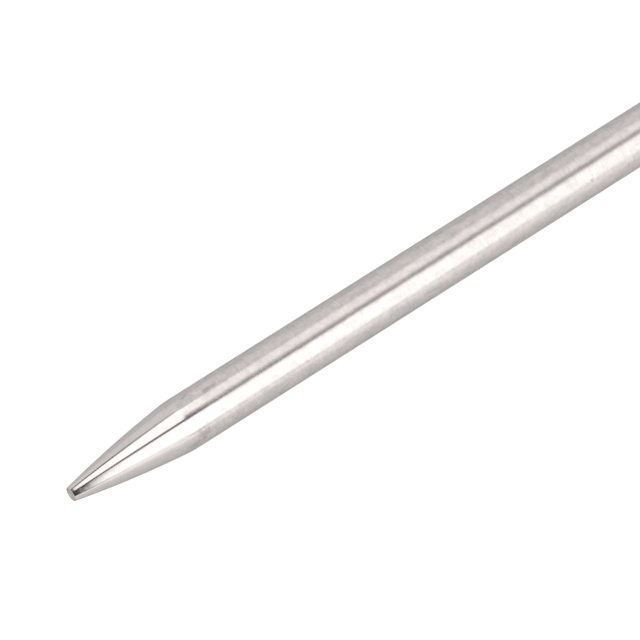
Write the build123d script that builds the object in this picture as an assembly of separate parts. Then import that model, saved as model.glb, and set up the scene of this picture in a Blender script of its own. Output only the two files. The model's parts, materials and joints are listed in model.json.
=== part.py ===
from build123d import *
import os
from math import asin, atan2, cos, degrees, hypot, radians, sin, sqrt

# Garden dibber: a solid stainless spike with a blunt ogive point, pinned into a steel ferrule
# that saddles a turned wooden crossbar. A lock nut, sunk in the palm side under a wooden plug,
# pulls the three together.
#
# Every piece is built in the tool's own axes, in millimetres: X runs along the spike from the
# point to the palm, Y runs along the crossbar, and the two axes cross at the origin. lay_down()
# then sets the whole tool on the plane Z = 0 as it lies on a bench, on its crossbar and on the
# shoulder of its point.

# Spike
shaft_diameter = 12.0
exposed_length = 200.0       # from the blunt end to the mouth of the ferrule
taper_length = 28.9          # from the blunt end to the shoulder
tip_diameter = 3.2           # of the blunt end, before its rim is rounded
tip_rim_round = 0.4
shoulder_angle = radians(6)  # slope of the ogive where it leaves the shoulder
shoulder_blend = 20.0        # radius that softens the shoulder
spigot_diameter = 8.0        # M8, drawn plain at its major diameter
spigot_chamfer = 1.0
thread_relief_width = 1.6    # undercut where the thread dies out at the counterbore's floor
thread_relief_depth = 0.6
shank_diameter = 11.0        # turned down inside the ferrule, whose mouth seats on the step

# Ferrule
ferrule_height = 14.0        # from its mouth to the nearest line of the crossbar
ferrule_wall = 3.0           # round the shank
ferrule_web = 3.5            # between the end of the shank and the crossbar
flare_width = 3.0            # how far the saddle stands out from the neck
flare_run = 5.0
saddle_rim = 1.0
mouth_round = 0.8
pin_diameter = 3.0
pin_proud = 0.3
pin_end_round = 0.5

# Crossbar
bar_length = 112.0
bar_diameter = 30.0
boss_length = 42.0           # parallel middle, which the tool rests on
bar_end_diameter = 23.0
bar_end_round = 8.0

# Fixing, sunk in the palm side of the crossbar
washer_diameter = 16.0
washer_thickness = 1.6
nut_across_flats = 13.0
nut_hex_height = 6.0
nut_crown_height = 2.0
nut_crown_wall = 0.8
nut_corner_chamfer = 0.7
insert_wall = 1.3            # nylon ring in the crown
thread_end = 1.0             # what stands out of the nut
plug_gap = 0.5               # air between the thread's end and the plug
plug_thickness = 4.0

# Clearances, on the radius unless they say otherwise
shank_clearance = 0.05
shank_end_gap = 0.3          # along the axis, so that the step seats and the shank's end doesn't
pin_clearance = 0.02
spigot_clearance = 0.05      # in the ferrule's web
bar_bore_clearance = 0.15
washer_clearance = 0.2
thread_clearance = 0.02      # drawn plain, so a running gap stands for the thread
insert_clearance = 0.02
saddle_clearance = 0.05
socket_clearance = 1.0       # room for a box spanner round the nut
glue_gap = 0.05              # round the plug

# Radii that the pieces share
shaft_radius = shaft_diameter / 2
shank_radius = shank_diameter / 2
spigot_radius = spigot_diameter / 2
bar_radius = bar_diameter / 2
neck_radius = shank_radius + shank_clearance + ferrule_wall
pin_bore_radius = pin_diameter / 2 + pin_clearance
nut_corner_radius = nut_across_flats / sqrt(3)
counterbore_radius = max(washer_diameter / 2, nut_corner_radius) + socket_clearance
insert_radius = spigot_radius + insert_wall

# Places along X, worked outwards from the crossbar's axis
web_face = -(bar_radius + ferrule_web)
shank_end = web_face - shank_end_gap
mouth = -(bar_radius + ferrule_height)
pin_place = (mouth + web_face) / 2
tip = mouth - exposed_length
shoulder = tip + taper_length
plug_floor = bar_radius - plug_thickness
spigot_end = plug_floor - plug_gap
nut_height = nut_hex_height + nut_crown_height
nut_seat = spigot_end - thread_end - nut_height
counterbore_floor = nut_seat - washer_thickness


def turned(*edges, axis=Axis.X):
    """A solid of revolution from a closed outline drawn on one side of the axis."""
    return revolve(make_face(Curve() + edges), axis=axis)


def along_x(radius, start, end):
    """A round bar on the X axis from start to end."""
    middle = Pos((start + end) / 2, 0, 0)
    return middle * Rot(0, 90, 0) * Cylinder(radius, end - start)


def along_y(radius, length, x=0.0):
    """A round bar parallel to Y, centred on the X axis at x."""
    return Pos(x, 0, 0) * Rot(90, 0, 0) * Cylinder(radius, length)


def spike():
    tip_radius = tip_diameter / 2
    blend_end = (
        shoulder - shoulder_blend * sin(shoulder_angle),
        shaft_radius - shoulder_blend * (1 - cos(shoulder_angle)),
    )
    towards_tip = (-cos(shoulder_angle), -sin(shoulder_angle))
    relief_start = counterbore_floor - thread_relief_width
    relief_radius = spigot_radius - thread_relief_depth
    solid = turned(
        Line((tip, 0), (tip, tip_radius)),
        TangentArc(blend_end, (tip, tip_radius), tangent=towards_tip),
        TangentArc((shoulder, shaft_radius), blend_end, tangent=(-1, 0)),
        Polyline(
            (shoulder, shaft_radius),
            (mouth, shaft_radius),
            (mouth, shank_radius),
            (shank_end, shank_radius),
            (shank_end, spigot_radius),
            (relief_start, spigot_radius),
            (relief_start, relief_radius),
            (counterbore_floor, relief_radius),
            (counterbore_floor, spigot_radius),
            (spigot_end - spigot_chamfer, spigot_radius),
            (spigot_end, spigot_radius - spigot_chamfer),
            (spigot_end, 0),
            (tip, 0),
        ),
    )
    blunt_edge = solid.edges().filter_by(GeomType.CIRCLE).sort_by(Axis.X)[0]
    solid = fillet(blunt_edge, tip_rim_round)
    return solid - along_y(pin_bore_radius, shaft_diameter * 2, pin_place)


def ferrule():
    bore = shank_radius + shank_clearance
    web_bore = spigot_radius + spigot_clearance
    rim_radius = neck_radius + flare_width
    flare_end = -(bar_radius + saddle_rim)
    solid = turned(
        Line((mouth, bore), (mouth, neck_radius)),
        Line((mouth, neck_radius), (flare_end - flare_run, neck_radius)),
        TangentArc((flare_end - flare_run, neck_radius), (flare_end, rim_radius), tangent=(1, 0)),
        Polyline(
            (flare_end, rim_radius),
            (0, rim_radius),
            (0, web_bore),
            (web_face, web_bore),
            (web_face, bore),
            (mouth, bore),
        ),
    )
    mouth_edges = solid.edges().filter_by(GeomType.CIRCLE).group_by(Axis.X)[0]
    solid = fillet(mouth_edges.sort_by(SortBy.RADIUS)[-1], mouth_round)
    solid -= along_y(bar_radius + saddle_clearance, bar_length)
    return solid - along_y(pin_bore_radius, neck_radius * 4, pin_place)


def ferrule_pin():
    pin = along_y(pin_diameter / 2, 2 * (neck_radius + pin_proud), pin_place)
    return fillet(pin.edges().filter_by(GeomType.CIRCLE), pin_end_round)


def crossbar():
    half = bar_length / 2
    end_radius = bar_end_diameter / 2
    # One half of the outline, which turns about Y; the other half is its mirror image.
    side = Curve() + [
        Line((bar_radius, 0), (bar_radius, boss_length / 2)),
        TangentArc((bar_radius, boss_length / 2), (end_radius, half), tangent=(0, 1)),
        Line((end_radius, half), (0, half)),
    ]
    other_side = mirror(side, about=Plane.XZ)
    solid = turned(*side.edges(), *other_side.edges(), Line((0, -half), (0, half)), axis=Axis.Y)
    rings = solid.edges().filter_by(GeomType.CIRCLE).sort_by(Axis.Y)
    solid = fillet([rings[0], rings[-1]], bar_end_round)
    solid -= along_x(spigot_radius + bar_bore_clearance, -bar_diameter, bar_diameter)
    return solid - along_x(counterbore_radius, counterbore_floor, bar_diameter)


def washer():
    ring = along_x(washer_diameter / 2, counterbore_floor, nut_seat)
    return ring - along_x(spigot_radius + washer_clearance, counterbore_floor, nut_seat)


def lock_nut():
    crown_start = nut_seat + nut_hex_height
    crown_end = crown_start + nut_crown_height
    flats = RegularPolygon(nut_across_flats / 2, 6, major_radius=False)
    hexagon = Pos(nut_seat, 0, 0) * Rot(0, 90, 0) * extrude(flats, nut_hex_height)
    rounded = chamfer(
        along_x(nut_corner_radius, nut_seat, crown_start).edges().filter_by(GeomType.CIRCLE),
        nut_corner_chamfer,
    )
    crown = along_x(insert_radius + insert_clearance + nut_crown_wall, crown_start, crown_end)
    solid = (hexagon & rounded) + crown
    solid -= along_x(spigot_radius + thread_clearance, nut_seat, crown_end)
    return solid - along_x(insert_radius + insert_clearance, crown_start, crown_end)


def lock_ring():
    start = nut_seat + nut_hex_height
    end = start + nut_crown_height
    ring = along_x(insert_radius, start, end)
    return ring - along_x(spigot_radius + insert_clearance, start, end)


def plug():
    dowel = along_x(counterbore_radius - glue_gap, plug_floor, bar_diameter)
    return dowel & along_y(bar_radius, bar_length)


def bench_lean():
    """How far the spike leans, in degrees, when the tool lies on its crossbar and its shoulder.

    Seen from the end of the crossbar, the bench is the common tangent of two circles: the
    crossbar's middle, and the blend arc of the shoulder, whose centre lies beyond the spike's
    axis because the blend is larger than the shaft.
    """
    reach = -shoulder
    rise = shoulder_blend - shaft_radius
    return degrees(asin((bar_radius - shoulder_blend) / hypot(reach, rise)) + atan2(rise, reach))


def lay_down(pieces):
    """Sets the tool on Z = 0, with the middle of its length over the origin."""
    leant = {name: Rot(0, -bench_lean(), 0) * piece for name, piece in pieces.items()}
    boxes = [piece.bounding_box() for piece in leant.values()]
    middle = (min(box.min.X for box in boxes) + max(box.max.X for box in boxes)) / 2
    seat = Pos(-middle, 0, bar_radius)
    return {name: seat * piece for name, piece in leant.items()}


makers = [spike, ferrule, ferrule_pin, crossbar, washer, lock_nut, lock_ring, plug]
tool = lay_down({maker.__name__: maker() for maker in makers})

os.makedirs("parts", exist_ok=True)
for name, piece in tool.items():
    export_step(piece, f"parts/{name}.step")
    print(f"{name}: {len(piece.solids())} solid, {piece.volume:.1f} mm3")
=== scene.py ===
import bmesh
import bpy
import json
from math import asin, atan2, cos, hypot, pi, radians, sin, tan
from mathutils import Matrix, Vector


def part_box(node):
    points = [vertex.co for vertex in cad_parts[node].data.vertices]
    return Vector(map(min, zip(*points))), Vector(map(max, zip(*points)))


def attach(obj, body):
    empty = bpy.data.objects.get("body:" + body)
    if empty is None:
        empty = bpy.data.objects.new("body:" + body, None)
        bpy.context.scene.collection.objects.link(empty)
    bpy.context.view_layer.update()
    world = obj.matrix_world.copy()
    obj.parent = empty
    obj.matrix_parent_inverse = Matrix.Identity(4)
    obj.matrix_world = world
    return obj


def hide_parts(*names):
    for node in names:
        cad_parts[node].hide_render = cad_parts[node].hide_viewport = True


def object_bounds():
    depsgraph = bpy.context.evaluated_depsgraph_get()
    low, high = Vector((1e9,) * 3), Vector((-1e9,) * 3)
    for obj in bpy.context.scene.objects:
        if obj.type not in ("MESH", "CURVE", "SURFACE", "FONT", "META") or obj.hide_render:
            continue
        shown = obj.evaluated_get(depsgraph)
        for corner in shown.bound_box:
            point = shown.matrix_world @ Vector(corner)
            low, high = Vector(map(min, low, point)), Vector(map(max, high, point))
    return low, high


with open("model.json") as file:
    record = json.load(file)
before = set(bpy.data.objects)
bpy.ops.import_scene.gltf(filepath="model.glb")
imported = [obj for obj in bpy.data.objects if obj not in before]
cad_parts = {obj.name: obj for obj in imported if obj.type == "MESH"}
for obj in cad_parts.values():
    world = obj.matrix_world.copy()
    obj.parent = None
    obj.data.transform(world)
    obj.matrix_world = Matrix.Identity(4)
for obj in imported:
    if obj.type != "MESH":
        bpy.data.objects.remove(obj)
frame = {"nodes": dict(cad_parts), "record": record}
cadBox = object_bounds()
print("frame loaded:", len(frame["nodes"]), "nodes")

# The tool's own axes: X from the point to the palm, Y along the crossbar, crossing inside the crossbar.
# Pieces are modelled in these, in metres, and toolPlace lays them down as the tool lies.
mm = 0.001
shaftMount = next(m for m in frame["record"]["mounts"] if m["name"] == "shaft")
toolX = -Vector(shaftMount["axis"]).normalized()
toolY = Vector((0, 1, 0))
toolZ = toolX.cross(toolY)
barLow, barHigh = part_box("crossbar")
crossing = (barLow + barHigh) / 2
toolTurn = Matrix((toolX, toolY, toolZ)).transposed()
toolPlace = Matrix.Translation(crossing) @ toolTurn.to_4x4()

shaftRadius = shaftMount["dims"]["r_mm"] * mm
shaftLength = shaftMount["dims"]["length_mm"] * mm
shaftMiddle = (Vector(shaftMount["pos_m"]) - crossing).dot(toolX)
mouth = shaftMiddle + shaftLength / 2      # where the shaft enters the ferrule
shoulder = shaftMiddle - shaftLength / 2   # where the point begins
barRadius = (barHigh.z - barLow.z) / 2
barLength = barHigh.y - barLow.y

roundSteps = 192              # round every turned piece
sharpAngle = radians(35)      # edges that turn by more than this stay sharp
mergeDistance = mm / 1000     # points nearer than this are one
sliverDistance = mm / 10000   # slivers thinner than this are closed up
cutterLength = 40 * mm        # reaches through the widest piece that is bored


# Outlines are drawn in the XZ plane, with the radius as Z, and then spun.

def lineTo(bm, last, x, r):
    corner = bm.verts.new((x, 0, r))
    bm.edges.new((last, corner))
    return corner


def arcTo(bm, last, x, r, angle, steps):
    turned = bmesh.ops.spin(bm, geom=[last], cent=(x, 0, r), axis=(0, 1, 0), angle=angle, steps=steps)
    return turned["geom_last"][0]


def spinOutline(bm):
    bmesh.ops.spin(bm, geom=bm.verts[:] + bm.edges[:], cent=(0, 0, 0), axis=(1, 0, 0), angle=2 * pi,
                   steps=roundSteps, use_merge=True)
    bmesh.ops.remove_doubles(bm, verts=bm.verts, dist=mergeDistance)
    bmesh.ops.recalc_face_normals(bm, faces=bm.faces)


def makePiece(bm, name):
    mesh = bpy.data.meshes.new(name)
    bm.to_mesh(mesh)
    bm.free()
    mesh.shade_smooth()
    mesh.set_sharp_from_angle(angle=sharpAngle)
    piece = bpy.data.objects.new(name, mesh)
    bpy.context.scene.collection.objects.link(piece)
    return piece


def roundBar(name, radius, length, centre, axis):
    bm = bmesh.new()
    turn = Vector((0, 0, 1)).rotation_difference(Vector(axis)).to_matrix().to_4x4()
    bmesh.ops.create_cone(bm, cap_ends=True, segments=roundSteps, radius1=radius, radius2=radius,
                          depth=length, matrix=Matrix.Translation(centre) @ turn)
    return makePiece(bm, name)


def cutAway(piece, cutters):
    for cutter in cutters:
        cut = piece.modifiers.new("cut", "BOOLEAN")
        cut.operation, cut.solver, cut.object = "DIFFERENCE", "EXACT", cutter
    graph = bpy.context.evaluated_depsgraph_get()
    finished = bpy.data.meshes.new_from_object(piece.evaluated_get(graph))
    piece.modifiers.clear()
    piece.data = finished
    # cuts leave slivers along their edges, which are closed up
    bm = bmesh.new()
    bm.from_mesh(finished)
    bmesh.ops.remove_doubles(bm, verts=bm.verts, dist=mergeDistance)
    bmesh.ops.dissolve_degenerate(bm, edges=bm.edges, dist=sliverDistance)
    bm.to_mesh(finished)
    bm.free()
    for cutter in cutters:
        bpy.data.objects.remove(cutter)


def unwrapTurned(piece):
    # U runs once round the X axis and V along it, so the brushing has a direction to follow.
    onAxis = mm / 100
    bm = bmesh.new()
    bm.from_mesh(piece.data)
    uv = bm.loops.layers.uv.new("turned")
    for face in bm.faces:
        middle = face.calc_center_median()
        middleTurn = atan2(middle.z, middle.y)
        for loop in face.loops:
            place = loop.vert.co
            away = hypot(place.y, place.z)
            turn = atan2(place.z, place.y) if away > onAxis else middleTurn
            turn += 2 * pi * round((middleTurn - turn) / (2 * pi))
            loop[uv].uv = (turn / (2 * pi) + 0.5, (place.x + away) / shaftLength)
    bm.to_mesh(piece.data)
    bm.free()


def layDown(piece, material, node):
    piece.data.transform(toolPlace)
    piece.data.set_sharp_from_angle(angle=sharpAngle)
    piece.data.materials.clear()
    piece.data.materials.append(material)
    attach(piece, "root")
    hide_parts(node)
    print(piece.name, "made:", len(piece.data.polygons), "faces")


def finishNode(node, material):
    solid = frame["nodes"][node]
    solid.data.materials.clear()
    solid.data.materials.append(material)
    print(node, "finished")


# Node helpers. An input given as a socket is linked, and any other is set.

noiseSpan = (0.3, 0.7)   # most of a noise's values lie in here


def addNode(tree, kind, inputs=None, **settings):
    made = tree.nodes.new("ShaderNode" + kind)
    for name, value in settings.items():
        setattr(made, name, value)
    for name, value in (inputs or {}).items():
        if isinstance(value, bpy.types.NodeSocket):
            tree.links.new(value, made.inputs[name])
        else:
            made.inputs[name].default_value = value
    return made


def startMaterial(name):
    material = bpy.data.materials.new(name)
    material.use_nodes = True
    tree = material.node_tree
    return material, tree, tree.nodes["Principled BSDF"]


def toolSpace(tree, stretch=(1, 1, 1)):
    # Millimetres in the tool's axes, divided by the stretch.
    place = addNode(tree, "TexCoord").outputs["Object"]
    scale = [mm * s for s in stretch]
    mapping = addNode(tree, "Mapping", {"Vector": place, "Location": crossing,
                                        "Rotation": toolTurn.to_euler(), "Scale": scale},
                      vector_type="TEXTURE")
    return mapping.outputs["Vector"]


def noise(tree, vector, detail=2.0, roughness=0.5):
    made = addNode(tree, "TexNoise", {"Vector": vector, "Scale": 1.0, "Detail": detail,
                                      "Roughness": roughness})
    return made.outputs["Fac"]


def calc(tree, operation, a, b=0.0, c=0.0):
    return addNode(tree, "Math", {0: a, 1: b, 2: c}, operation=operation).outputs[0]


def rescale(tree, value, low, high, toLow=0.0, toHigh=1.0, smooth=True):
    made = addNode(tree, "MapRange", {"Value": value, "From Min": low, "From Max": high,
                                      "To Min": toLow, "To Max": toHigh},
                   interpolation_type="SMOOTHSTEP" if smooth else "LINEAR")
    return made.outputs["Result"]


def spread(tree, pattern, span, smooth=False):
    # stretches a noise over the span
    return rescale(tree, pattern, *noiseSpan, *span, smooth=smooth)


def blendValue(tree, factor, a, b):
    return addNode(tree, "Mix", {0: factor, 2: a, 3: b}).outputs[0]


def blendColour(tree, factor, a, b, how="MIX"):
    a, b = ((*value, 1) if isinstance(value, tuple) else value for value in (a, b))
    return addNode(tree, "Mix", {0: factor, 6: a, 7: b}, data_type="RGBA", blend_type=how).outputs[2]


def bump(tree, height, distance):
    made = addNode(tree, "Bump", {"Height": height, "Distance": distance, "Strength": 1.0})
    return made.outputs["Normal"]


# Steel. The grinding runs round the tool, so its marks are short along X and long across it.

markFade = (1.6, 2.5)   # how far out a rubbed patch fades, with the grinding and the mottle added


def makeSteel(name, f, roughness, relief=1.0, evenness=0.0, marks=(), end=None):
    # roughness, relief and evenness are numbers, or functions of the tree and of the place along the tool
    material, tree, shader = startMaterial(name)
    place = toolSpace(tree)
    along = addNode(tree, "SeparateXYZ", {"Vector": place}).outputs["X"]

    def settle(value):
        return value(tree, along) if callable(value) else value

    def patches(size, **settings):
        # each patch is this long, and this wide round the tool
        length, width = size
        return noise(tree, toolSpace(tree, (length, width, width)), **settings)

    grind = patches(f["grindSize"], detail=3.0, roughness=0.6)
    worn = rescale(tree, patches(f["wornSize"]), 0.4, 0.6, f["wornGrind"], 1.0)
    grind = blendValue(tree, worn, 0.5, grind)
    cloud = patches(f["cloudSize"], detail=4.0, roughness=0.6)
    mottle = patches(f["mottleSize"], detail=3.0, roughness=0.6)
    pits = patches(f["pitSize"], detail=1.0)

    colour = blendColour(tree, rescale(tree, cloud, *f["toneSpan"]), f["cool"], f["warm"])
    shade = spread(tree, cloud, f["cloudShade"])
    for layer in (spread(tree, mottle, f["mottleShade"]), spread(tree, grind, f["grindShade"]),
                  rescale(tree, pits, *f["pitSpan"], 1.0, f["pitShade"], smooth=False)):
        shade = calc(tree, "MULTIPLY", shade, layer)
    shade = blendValue(tree, settle(evenness), shade, 1.0)
    for mark in marks:
        # a rubbed patch, broken up by the mottle
        turn = radians(mark["round"])
        centre = (shoulder / mm + mark["along"], -shaftRadius / mm * sin(turn), shaftRadius / mm * cos(turn))
        offset = addNode(tree, "VectorMath", {0: place, 1: centre}, operation="SUBTRACT").outputs[0]
        offset = addNode(tree, "VectorMath", {0: offset, 1: mark["reach"]}, operation="DIVIDE").outputs[0]
        away = addNode(tree, "VectorMath", {0: offset}, operation="LENGTH").outputs["Value"]
        away = calc(tree, "ADD", away, calc(tree, "MULTIPLY_ADD", grind, 2.0, mottle))
        shade = calc(tree, "MULTIPLY", shade, rescale(tree, away, *markFade, mark["shade"], 1.0))
    colour = blendColour(tree, 1.0, colour, shade, "MULTIPLY")
    if end:
        # the sawn end face: a darker, warmer tone, partly its duller finish and partly painted shade, with a
        # painted highlight in its middle
        fromEnd = addNode(tree, "VectorMath", {0: place, 1: (end["place"], 0, 0)}, operation="DISTANCE")
        face = blendColour(tree, rescale(tree, fromEnd.outputs["Value"], *end["paintedHighlightSpan"]),
                           end["paintedHighlight"], end["colour"])
        faceEdge, rimEdge = end["rimSpan"]
        onEnd = rescale(tree, along, end["place"] + faceEdge, end["place"] + rimEdge, 1.0, 0.0)
        colour = blendColour(tree, onEnd, colour, face)
    tree.links.new(colour, shader.inputs["Base Color"])

    roughness = calc(tree, "ADD", settle(roughness), spread(tree, mottle, (-0.02, 0.02), smooth=True))
    tree.links.new(roughness, shader.inputs["Roughness"])
    height = calc(tree, "MULTIPLY_ADD", mottle, f["mottleRelief"], grind)
    height = calc(tree, "MULTIPLY", height, settle(relief))
    tree.links.new(bump(tree, height, f["grindDepth"] * mm), shader.inputs["Normal"])

    shader.inputs["Metallic"].default_value = 1.0
    shader.inputs["Specular Tint"].default_value = (*f["edge"], 1)
    shader.inputs["Anisotropic"].default_value = f["anisotropy"]
    if f["anisotropy"]:
        shader.inputs["Anisotropic Rotation"].default_value = 0.25
        tangent = addNode(tree, "Tangent", direction_type="UV_MAP", uv_map="turned")
        tree.links.new(tangent.outputs["Tangent"], shader.inputs["Tangent"])
    return material


# Spike, with the sizes that the frame doesn't give

spike = dict(pointLength=28.9 * mm, endRadius=1.6 * mm, endRound=0.4 * mm,
             shoulderAngle=radians(6), shoulderBlend=20 * mm,
             shankRadius=5.5 * mm, shankEnd=-18.8 * mm,
             spigotRadius=4 * mm, spigotEnd=10.5 * mm, spigotChamfer=1 * mm,
             reliefRadius=3.4 * mm, reliefStart=-1.7 * mm, reliefEnd=-0.1 * mm,
             pinPlace=-23.75 * mm, pinBoreRadius=1.52 * mm)
tip = shoulder - spike["pointLength"]
# sizes are along the spike and round it, in millimetres
spikeFinish = dict(warm=(0.478, 0.437, 0.424), cool=(0.464, 0.436, 0.428), edge=(0.57, 0.6, 0.6),
                   toneSpan=(0.38, 0.62), anisotropy=0.8,
                   grindSize=(0.45, 3.2), grindDepth=0.00045, grindShade=(0.92, 1.065),
                   wornSize=(6, 3.5), wornGrind=0.25,   # the grinding that is left where the bar is worn
                   cloudSize=(2.6, 1.6), cloudShade=(0.9, 1.065),
                   mottleSize=(0.8, 0.8), mottleShade=(0.92, 1.07), mottleRelief=0.5,
                   pitSize=(1.1, 0.8), pitSpan=(0.74, 0.82), pitShade=0.8)
# the end face's colour is partly its duller finish and partly painted shade, and its lighter middle is a
# painted highlight
spikeEndShadeAndHighlight = dict(place=tip / mm, colour=(0.39, 0.35, 0.34), paintedHighlight=(0.6, 0.55, 0.54), paintedHighlightSpan=(0.2, 1.5),
                rimSpan=(0.15, 0.45))
# where the bar was held and knocked: mm past the shoulder, degrees from the top
spikeMarks = (dict(along=7.6, round=-6, reach=(3.6, 0.6, 0.6), shade=0.8),
              dict(along=2.2, round=-22, reach=(1.4, 0.7, 0.7), shade=0.78),
              dict(along=2.0, round=70, reach=(2.2, 2.4, 2.4), shade=0.78),
              dict(along=-1.0, round=88, reach=(4.0, 1.2, 1.2), shade=0.84),
              dict(along=69.0, round=-3, reach=(0.5, 0.5, 0.5), shade=0.75),
              dict(along=105.0, round=56, reach=(0.7, 0.6, 0.6), shade=0.74))


def pastShoulder(tree, along, start, end, atStart, atEnd):
    # start and end are in millimetres past the shoulder, or before it where negative
    return rescale(tree, along, shoulder / mm + start, shoulder / mm + end, atStart, atEnd)


def spikeRoughness(tree, along):
    # polished at the point, and duller from the shoulder to the handle
    point = pastShoulder(tree, along, -27, -16, 0.08, 0.12)
    shaft = pastShoulder(tree, along, 0, 100, 0.27, 0.335)
    return blendValue(tree, pastShoulder(tree, along, -2, 10, 0.0, 1.0), point, shaft)


def spikeRelief(tree, along):
    return pastShoulder(tree, along, -5, 50, 0.15, 0.9)


def spikeEvenness(tree, along):
    return pastShoulder(tree, along, -8, 3, 0.6, 0.0)


def pinCutter():
    return roundBar("pinCutter", spike["pinBoreRadius"], cutterLength, (spike["pinPlace"], 0, 0), (0, 1, 0))


def makeSpike(p):
    bm = bmesh.new()
    blend, slope = p["shoulderBlend"], p["shoulderAngle"]
    # The point's long arc leaves the shoulder's blend at its slope and passes through the rim.
    startX = shoulder - blend * sin(slope)
    startR = shaftRadius - blend * (1 - cos(slope))
    rim = Vector((tip - startX, p["endRadius"] - startR))
    longRadius = -rim.length_squared / (2 * rim.dot(Vector((-sin(slope), cos(slope)))))
    longX, longR = startX + longRadius * sin(slope), startR - longRadius * cos(slope)
    # The rim's round touches both the long arc and the end face.
    roundX = tip + p["endRound"]
    inner = longRadius - p["endRound"]
    roundSlope = asin((longX - roundX) / inner)
    roundR = longR + inner * cos(roundSlope)

    last = bm.verts.new((p["spigotEnd"], 0, 0))
    for x, r in ((p["spigotEnd"], p["spigotRadius"] - p["spigotChamfer"]),
                 (p["spigotEnd"] - p["spigotChamfer"], p["spigotRadius"]),
                 (p["reliefEnd"], p["spigotRadius"]), (p["reliefEnd"], p["reliefRadius"]),
                 (p["reliefStart"], p["reliefRadius"]), (p["reliefStart"], p["spigotRadius"]),
                 (p["shankEnd"], p["spigotRadius"]), (p["shankEnd"], p["shankRadius"]),
                 (mouth, p["shankRadius"]), (mouth, shaftRadius), (shoulder, shaftRadius)):
        last = lineTo(bm, last, x, r)
    last = arcTo(bm, last, shoulder, shaftRadius - blend, -slope, 6)
    last = arcTo(bm, last, longX, longR, slope - roundSlope, 36)
    last = arcTo(bm, last, roundX, roundR, roundSlope - pi / 2, 10)
    lineTo(bm, last, tip, 0)
    spinOutline(bm)
    bar = makePiece(bm, "spikeBar")
    cutAway(bar, [pinCutter()])
    unwrapTurned(bar)
    return bar


groundSteel = makeSteel("groundSteel", spikeFinish, spikeRoughness, spikeRelief, spikeEvenness, spikeMarks,
                        spikeEndShadeAndHighlight)
layDown(makeSpike(spike), groundSteel, "spike")


# Ferrule

ferrule = dict(boreRadius=5.55 * mm, neckRadius=8.55 * mm, mouthRound=0.8 * mm,
               webFace=-18.5 * mm, webBoreRadius=4.05 * mm,
               flareStart=-21 * mm, flareRadius=17 / 3 * mm, flareTurn=2 * atan2(3, 5), rimRadius=11.55 * mm,
               coreEnd=-6 * mm, saddleRadius=15.05 * mm)   # the saddle's cut takes the core's end away
ferruleFinish = dict(spikeFinish, warm=(0.47, 0.452, 0.44), cool=(0.44, 0.438, 0.436), anisotropy=0.7,
                     grindSize=(0.22, 30.0), grindDepth=0.0012, grindShade=(0.9, 1.05),
                     cloudSize=(5.0, 5.0), cloudShade=(0.93, 1.05))


def makeFerrule(p):
    bm = bmesh.new()
    neck = p["neckRadius"]
    first = last = bm.verts.new((mouth, 0, p["boreRadius"]))
    last = lineTo(bm, last, mouth, neck - p["mouthRound"])
    last = arcTo(bm, last, mouth + p["mouthRound"], neck - p["mouthRound"], pi / 2, 8)
    last = lineTo(bm, last, p["flareStart"], neck)
    last = arcTo(bm, last, p["flareStart"], neck + p["flareRadius"], -p["flareTurn"], 16)
    for x, r in ((p["coreEnd"], p["rimRadius"]), (p["coreEnd"], p["webBoreRadius"]),
                 (p["webFace"], p["webBoreRadius"]), (p["webFace"], p["boreRadius"])):
        last = lineTo(bm, last, x, r)
    bm.edges.new((last, first))
    spinOutline(bm)
    body = makePiece(bm, "ferruleBody")
    saddleCutter = roundBar("saddleCutter", p["saddleRadius"], cutterLength, (0, 0, 0), (0, 1, 0))
    cutAway(body, [saddleCutter, pinCutter()])
    unwrapTurned(body)
    return body


layDown(makeFerrule(ferrule), makeSteel("turnedSteel", ferruleFinish, roughness=0.3), "ferrule")


# Wood. Growth rings are measured from the tree's pith, which runs along the grain beside the piece.

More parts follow.
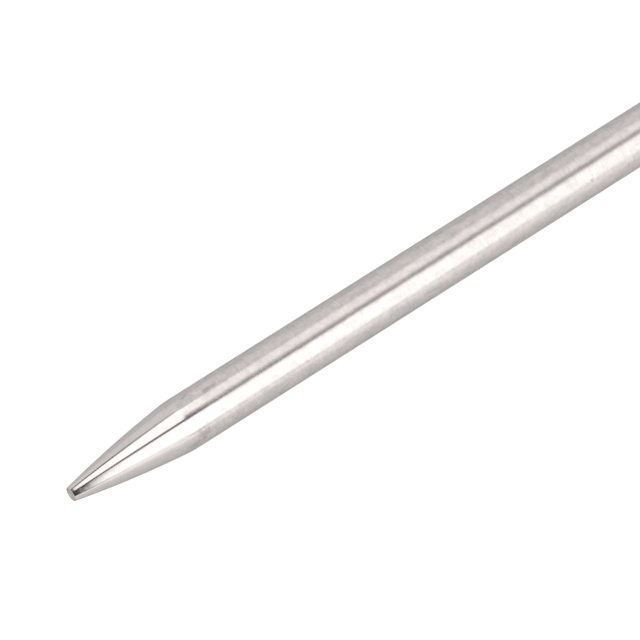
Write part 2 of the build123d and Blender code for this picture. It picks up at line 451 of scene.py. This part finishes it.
def makeWood(name, w, grainAxis="Y", endGrain=None, glueLine=None):
    material, tree, shader = startMaterial(name)
    parts = addNode(tree, "SeparateXYZ", {"Vector": toolSpace(tree)}).outputs
    across, along = (parts["X"], parts["Y"]) if grainAxis == "Y" else (parts["Y"], parts["X"])

    def grain(wide, long):
        return toolSpace(tree, (wide, long, wide) if grainAxis == "Y" else (long, wide, wide))

    wobble = calc(tree, "MULTIPLY", noise(tree, grain(*w["wobbleSize"])), w["ringWobble"])
    flat = addNode(tree, "CombineXYZ", {"X": across, "Z": parts["Z"]}).outputs[0]
    away = addNode(tree, "VectorMath", {0: flat, 1: w["pith"]}, operation="DISTANCE").outputs["Value"]
    away = calc(tree, "ADD", away, wobble)
    # some years are wider than others
    seasons = addNode(tree, "TexNoise", {"W": away, "Scale": 0.13, "Detail": 1.0}, noise_dimensions="1D")
    years = calc(tree, "DIVIDE", away, w["ringStep"])
    year = calc(tree, "FRACT", calc(tree, "MULTIPLY_ADD", seasons.outputs["Fac"], 2.0, years))
    early = calc(tree, "MULTIPLY", rescale(tree, year, 0.0, 0.04), rescale(tree, year, 0.12, 0.5, 1.0, 0.0))
    late = rescale(tree, year, *w["lateSpan"])

    poreWidth, poreLength = w["poreSize"]
    pores = addNode(tree, "TexVoronoi", {"Vector": grain(poreWidth, poreLength), "Scale": 1.0}, feature="F1")
    pores = calc(tree, "MULTIPLY", rescale(tree, pores.outputs["Distance"], *w["poreSpan"], 1.0, 0.0), early)
    finePores = noise(tree, grain(poreWidth / 2, poreLength / 2), detail=1.0)
    finePores = calc(tree, "MULTIPLY", rescale(tree, finePores, 0.6, 0.75), w["finePores"])
    pores = calc(tree, "MAXIMUM", pores, finePores)
    fibres = noise(tree, grain(*w["fibreSize"]), detail=3.0, roughness=0.6)
    figure = noise(tree, grain(*w["figureSize"]), detail=3.0)

    colour = blendColour(tree, late, w["earlyColour"], w["lateColour"])
    figure = rescale(tree, figure, 0.35, 0.65, 0, w["figureAmount"])
    colour = blendColour(tree, figure, colour, w["figureColour"])
    shade = spread(tree, fibres, w["fibreShade"])
    if endGrain:
        # the ends drink more oil
        ends = rescale(tree, calc(tree, "ABSOLUTE", along), endGrain - w["endDepth"], endGrain - 0.5,
                       1.0, w["endShade"])
        shade = calc(tree, "MULTIPLY", shade, ends)
    colour = blendColour(tree, 1.0, colour, shade, "MULTIPLY")
    colour = blendColour(tree, calc(tree, "MULTIPLY", pores, w["poreAmount"]), colour, w["poreColour"])
    if glueLine:
        # darker round the rim of a dowel, where glue and oil gather
        outer = addNode(tree, "CombineXYZ", {"Y": parts["Y"], "Z": parts["Z"]}).outputs[0]
        rim = addNode(tree, "VectorMath", {0: outer}, operation="LENGTH").outputs["Value"]
        rim = calc(tree, "MULTIPLY_ADD", calc(tree, "SUBTRACT", fibres, 0.5), 0.5, rim)
        rim = rescale(tree, rim, glueLine - 0.45, glueLine - 0.05)
        colour = blendColour(tree, calc(tree, "MULTIPLY", rim, 0.85), colour, w["poreColour"])
    tree.links.new(colour, shader.inputs["Base Color"])

    # the hard late wood is the smoothest, and the pores are the dullest
    roughness = rescale(tree, late, 0, 1, w["roughness"] + w["earlyDull"], w["roughness"])
    roughness = calc(tree, "MULTIPLY_ADD", pores, w["poreDull"], roughness)
    uneven = spread(tree, fibres, (-w["fibreDull"], w["fibreDull"]), smooth=True)
    tree.links.new(calc(tree, "ADD", roughness, uneven), shader.inputs["Roughness"])
    height = calc(tree, "MULTIPLY_ADD", pores, w["poreRelief"], calc(tree, "MULTIPLY", early, w["earlyRelief"]))
    height = calc(tree, "MULTIPLY_ADD", fibres, w["fibreRelief"], height)
    tree.links.new(bump(tree, height, w["relief"] * mm), shader.inputs["Normal"])
    shader.inputs["Specular IOR Level"].default_value = w["gloss"]
    shader.inputs["Coat Weight"].default_value = w["oil"]
    shader.inputs["Coat Roughness"].default_value = w["oilRoughness"]
    return material


# sizes are across and along the grain, in millimetres
ash = dict(pith=(-30, 0, 26), ringStep=2.3, ringWobble=5.0, wobbleSize=(14, 90), lateSpan=(0.3, 0.75),
           poreSize=(0.36, 7.0), poreSpan=(0.22, 0.46), poreAmount=0.9, finePores=0.35,
           fibreSize=(0.16, 11), fibreShade=(0.8, 1.12), figureSize=(9, 45), figureAmount=0.55,
           endDepth=7, endShade=0.66,
           relief=0.05, poreRelief=-1.0, earlyRelief=-0.12, fibreRelief=0.22,
           roughness=0.46, earlyDull=0.06, poreDull=0.2, fibreDull=0.04, gloss=0.45, oil=0.2, oilRoughness=0.3,
           earlyColour=(0.26, 0.132, 0.05), lateColour=(0.4, 0.228, 0.098), figureColour=(0.33, 0.178, 0.07),
           poreColour=(0.07, 0.032, 0.013))


# Crossbar

crossbar = dict(middle=42 * mm, taperRadius=176.75 * mm, taperTurn=radians(9.207),
                endRoundPlace=48 * mm, endRoundRadius=4.826 * mm,
                boreRadius=4.15 * mm, counterboreRadius=9 * mm, counterboreFloor=spike["reliefEnd"])


def makeCrossbar(p):
    bm = bmesh.new()
    half, middle, taper, turn = barLength / 2, p["middle"] / 2, barRadius - p["taperRadius"], p["taperTurn"]
    last = bm.verts.new((half, 0, 0))
    last = lineTo(bm, last, half, p["endRoundRadius"])
    last = arcTo(bm, last, p["endRoundPlace"], p["endRoundRadius"], turn - pi / 2, 16)
    last = arcTo(bm, last, middle, taper, -turn, 32)
    last = lineTo(bm, last, -middle, barRadius)
    last = arcTo(bm, last, -middle, taper, -turn, 32)
    last = arcTo(bm, last, -p["endRoundPlace"], p["endRoundRadius"], turn - pi / 2, 16)
    lineTo(bm, last, -half, 0)
    spinOutline(bm)
    bmesh.ops.rotate(bm, verts=bm.verts, cent=(0, 0, 0), matrix=Matrix.Rotation(pi / 2, 3, "Z"))
    grip = makePiece(bm, "turnedGrip")
    deep = cutterLength / 2
    nutMiddle = p["counterboreFloor"] + deep / 2
    cutAway(grip, [roundBar("boreCutter", p["boreRadius"], cutterLength, (0, 0, 0), (1, 0, 0)),
                   roundBar("nutCutter", p["counterboreRadius"], deep, (nutMiddle, 0, 0), (1, 0, 0))])
    return grip


layDown(makeCrossbar(crossbar), makeWood("oiledAsh", ash, endGrain=barLength / 2 / mm), "crossbar")


# Fixings, which keep their shapes

plainFinish = dict(ferruleFinish, anisotropy=0.0, grindSize=(0.6, 0.6), grindDepth=0.002)
zincFinish = dict(plainFinish, warm=(0.5, 0.5, 0.46), cool=(0.46, 0.48, 0.5), mottleSize=(0.5, 0.5))
nylonFinish = dict(cool=(0.72, 0.73, 0.7), warm=(0.82, 0.82, 0.79), cloudSize=1.5, roughness=(0.35, 0.5),
                   glowWeight=0.2, glowDepth=0.5 * mm)
dowel = dict(ash, pith=(24, 0, -20), ringStep=1.9, ringWobble=2.0, poreSize=(0.36, 0.5), roughness=0.5,
             earlyColour=(0.17, 0.085, 0.035), lateColour=(0.27, 0.15, 0.066), figureColour=(0.22, 0.118, 0.05))


def makeNylon(name, f):
    material, tree, shader = startMaterial(name)
    cloud = noise(tree, toolSpace(tree, [f["cloudSize"]] * 3), detail=3.0)
    colour = blendColour(tree, rescale(tree, cloud, 0.35, 0.65), f["cool"], f["warm"])
    tree.links.new(colour, shader.inputs["Base Color"])
    tree.links.new(spread(tree, cloud, f["roughness"], smooth=True), shader.inputs["Roughness"])
    shader.inputs["Subsurface Weight"].default_value = f["glowWeight"]
    shader.inputs["Subsurface Scale"].default_value = f["glowDepth"]
    return material


finishNode("ferrule_pin", makeSteel("drawnSteel", plainFinish, roughness=0.24))
zincSteel = makeSteel("zincSteel", zincFinish, roughness=0.34)
finishNode("washer", zincSteel)
finishNode("lock_nut", zincSteel)
finishNode("lock_ring", makeNylon("nylon", nylonFinish))
finishNode("plug", makeWood("dowelAsh", dowel, grainAxis="X", glueLine=8.95))


# Camera, looking down on the point from beside it

camera = dict(azimuth=radians(-36.242), elevation=radians(54.778), distance=1.0826, lens=285.69,
              aimAlong=75 * mm, aimRight=-8.305 * mm, aimUp=-1.628 * mm)
tipPlace = crossing + toolX * tip


def makeCamera(c):
    back = Vector((sin(c["azimuth"]) * cos(c["elevation"]), -cos(c["azimuth"]) * cos(c["elevation"]),
                   sin(c["elevation"])))
    right = Vector((cos(c["azimuth"]), sin(c["azimuth"]), 0))
    up = back.cross(right)
    aim = tipPlace + toolX * c["aimAlong"] + right * c["aimRight"] + up * c["aimUp"]
    lens = bpy.data.cameras.new("camera")
    lens.lens, lens.sensor_width = c["lens"], 36
    lens.clip_start, lens.clip_end = 0.01, 50
    eye = bpy.data.objects.new("camera", lens)
    turn = Matrix((right, up, back)).transposed().to_4x4()
    eye.matrix_world = Matrix.Translation(aim + back * c["distance"]) @ turn
    bpy.context.scene.collection.objects.link(eye)
    bpy.context.scene.camera = eye
    return back


towardsCamera = makeCamera(camera)
print("camera placed")


# Studio. Each card is placed as seen from the point, in degrees: round the spike, from the side that
# faces the camera, and along it, positive towards the handle. Its softness is in degrees too.

facing = (towardsCamera - toolX * towardsCamera.dot(toolX)).normalized()
below = toolX.cross(facing)


def makeCloth(name, colour, strength, sideFade, endFade):
    # a glowing cloth that thins out over these fractions of its width and length
    material = bpy.data.materials.new(name)
    material.use_nodes = True
    tree = material.node_tree
    tree.nodes.clear()
    surface = addNode(tree, "Emission", {"Color": (*colour, 1), "Strength": strength}).outputs[0]
    cloth = addNode(tree, "SeparateXYZ", {"Vector": addNode(tree, "UVMap", uv_map="cloth").outputs[0]})
    cover = None
    for axis, fades in (("X", sideFade), ("Y", endFade)):
        for side, fade in enumerate(fades):
            if fade:
                edge = rescale(tree, cloth.outputs[axis], side, 1 - fade if side else fade, smooth=False)
                cover = calc(tree, "MULTIPLY", cover, edge) if cover else edge
    if cover:
        clear = addNode(tree, "BsdfTransparent").outputs[0]
        surface = addNode(tree, "MixShader", {0: cover, 1: clear, 2: surface}).outputs[0]
    addNode(tree, "OutputMaterial", {"Surface": surface})
    return material


def studioCard(name, rounds, alongs, distance, colour=(1, 1, 1), strength=1.0, sideSoft=(0, 0),
               endSoft=(0, 0), turn=0):
    roundSpan, alongSpan = rounds[1] - rounds[0], alongs[1] - alongs[0]
    midRound, midAlong = radians(sum(rounds) / 2), radians(sum(alongs) / 2)
    outward = cos(midAlong) * (cos(midRound) * facing + sin(midRound) * below) + sin(midAlong) * toolX
    aroundAxis = cos(midRound) * below - sin(midRound) * facing
    alongAxis = outward.cross(aroundAxis)
    width = 2 * distance * cos(midAlong) * tan(radians(roundSpan) / 2)
    length = 2 * distance * tan(radians(alongSpan) / 2)
    stand = Matrix((aroundAxis, alongAxis, outward)).transposed().to_4x4()
    place = Matrix.Translation(tipPlace + outward * distance) @ stand @ Matrix.Rotation(radians(turn), 4, "Z")
    bm = bmesh.new()
    bm.loops.layers.uv.new("cloth")
    bmesh.ops.create_grid(bm, x_segments=1, y_segments=1, size=0.5, calc_uvs=True,
                          matrix=place @ Matrix.Diagonal((width, length, 1, 1)))
    card = makePiece(bm, name)
    card.data.materials.append(makeCloth(name, colour, strength, [soft / roundSpan for soft in sideSoft],
                                         [soft / alongSpan for soft in endSoft]))
    card.visible_camera = False
    card.visible_shadow = False


studioCard("keyLight", (-16.5, 60.5), (-8.5, 50), 2.6, (1, 1.02, 1.01), 2.6, sideSoft=(25, 11), endSoft=(4, 0),
           turn=-4.5)
studioCard("lowLight", (44, 72), (-5, 11), 2.55, strength=1.9, sideSoft=(8, 14), endSoft=(3, 5))
studioCard("sideLight", (-57, -12), (-9.7, 19.5), 2.55, strength=2.35, sideSoft=(0, 2), endSoft=(0, 6),
           turn=-12)
studioCard("sideEnd", (-62, -8), (-24, -9.5), 2.45, (0.2, 0.195, 0.19), endSoft=(10, 0))
studioCard("fillLight", (-54, -20.5), (8, 50), 2.6, strength=1.6, sideSoft=(12, 11), turn=14)
studioCard("gapCard", (-24, -4), (-28, 50), 2.75, (0.37, 0.35, 0.35))
studioCard("sideRim", (-66.5, -56.3), (-28, 9), 2.5, (0.1, 0.1, 0.1), endSoft=(0, 13), turn=-12)
studioCard("cameraCard", (-14, 60), (-24, -6.4), 2.4, (0.05, 0.05, 0.05), sideSoft=(0, 12), endSoft=(10, 1.8),
           turn=2)

# the tent is brighter overhead, and the floor is lit from below, more strongly in front of the tool
surround = dict(tentGlow=(1.0, 1.27), tentHeight=0.45, floorShade=0.25, floorGlow=(1.4, 0.8),
                floorFade=(-0.08, 0.003), floorSize=10)


def makeTent(p):
    world = bpy.data.worlds.new("tent")
    world.use_nodes = True
    tree = world.node_tree
    sky = addNode(tree, "SeparateXYZ", {"Vector": addNode(tree, "TexCoord").outputs["Generated"]})
    glow = rescale(tree, sky.outputs["Z"], 0, p["tentHeight"], *p["tentGlow"])
    tree.links.new(glow, tree.nodes["Background"].inputs["Strength"])
    tree.nodes["Background"].inputs["Color"].default_value = (1, 1, 1, 1)
    bpy.context.scene.world = world


def makeFloor(p):
    bm = bmesh.new()
    bmesh.ops.create_grid(bm, x_segments=1, y_segments=1, size=p["floorSize"],
                          matrix=Matrix.Translation((0, 0, cadBox[0].z)))
    floor = makePiece(bm, "floor")
    material, tree, shader = startMaterial("paleFloor")
    shader.inputs["Base Color"].default_value = (*[p["floorShade"]] * 3, 1)
    shader.inputs["Roughness"].default_value = 1.0
    shader.inputs["Specular IOR Level"].default_value = 0.0
    shader.inputs["Emission Color"].default_value = (1, 1, 1, 1)
    front = addNode(tree, "SeparateXYZ", {"Vector": addNode(tree, "TexCoord").outputs["Object"]})
    glow = rescale(tree, front.outputs["Y"], *p["floorFade"], *p["floorGlow"])
    tree.links.new(glow, shader.inputs["Emission Strength"])
    floor.data.materials.append(material)


makeTent(surround)
makeFloor(surround)
bpy.context.scene.view_settings.view_transform = "Standard"
bpy.context.scene.view_settings.look = "None"
print("studio ready")
